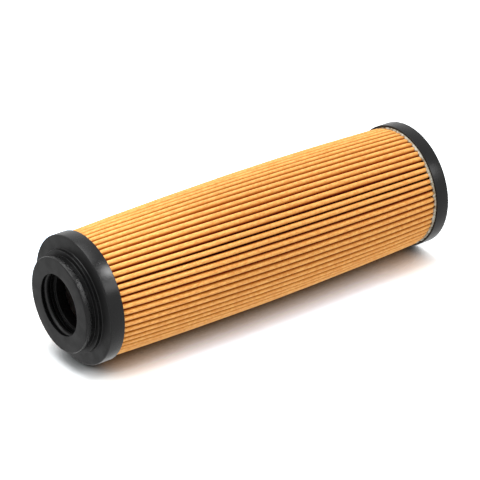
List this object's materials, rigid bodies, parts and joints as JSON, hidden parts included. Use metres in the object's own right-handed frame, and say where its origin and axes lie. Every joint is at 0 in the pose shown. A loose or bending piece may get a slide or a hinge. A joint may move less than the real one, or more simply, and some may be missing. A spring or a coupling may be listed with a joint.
{
  "type": "pleated filter element",
  "caption": "Cylindrical pleated paper filter element with black moulded end caps: a blank cap, and a flanged cap with a sealed central bore.",
  "frame": {"origin": "centre of the blank end cap's underside, on which the element stands", "axes": "+Z along the element's axis, from the blank end cap to the flanged, open end; X and Y are any two square directions across it"},
  "size_m": [0.07, 0.07, 0.2321],
  "materials": {
    "cap_nylon": "satin",
    "seal_rubber": "matte",
    "core_steel": "satin",
    "filter_paper": "matte",
    "seam_glue": "satin",
    "potting_resin": "satin"
  },
  "bodies": {
    "root": {"open_end_cap": "cap_nylon", "closed_end_cap": "cap_nylon", "bore_o_ring": "seal_rubber", "perforated_core_tube": "core_steel", "pleated_media": "filter_paper", "seam_bead": "seam_glue", "open_end_potting": "potting_resin", "closed_end_potting": "potting_resin"}
  },
  "joints": []
}
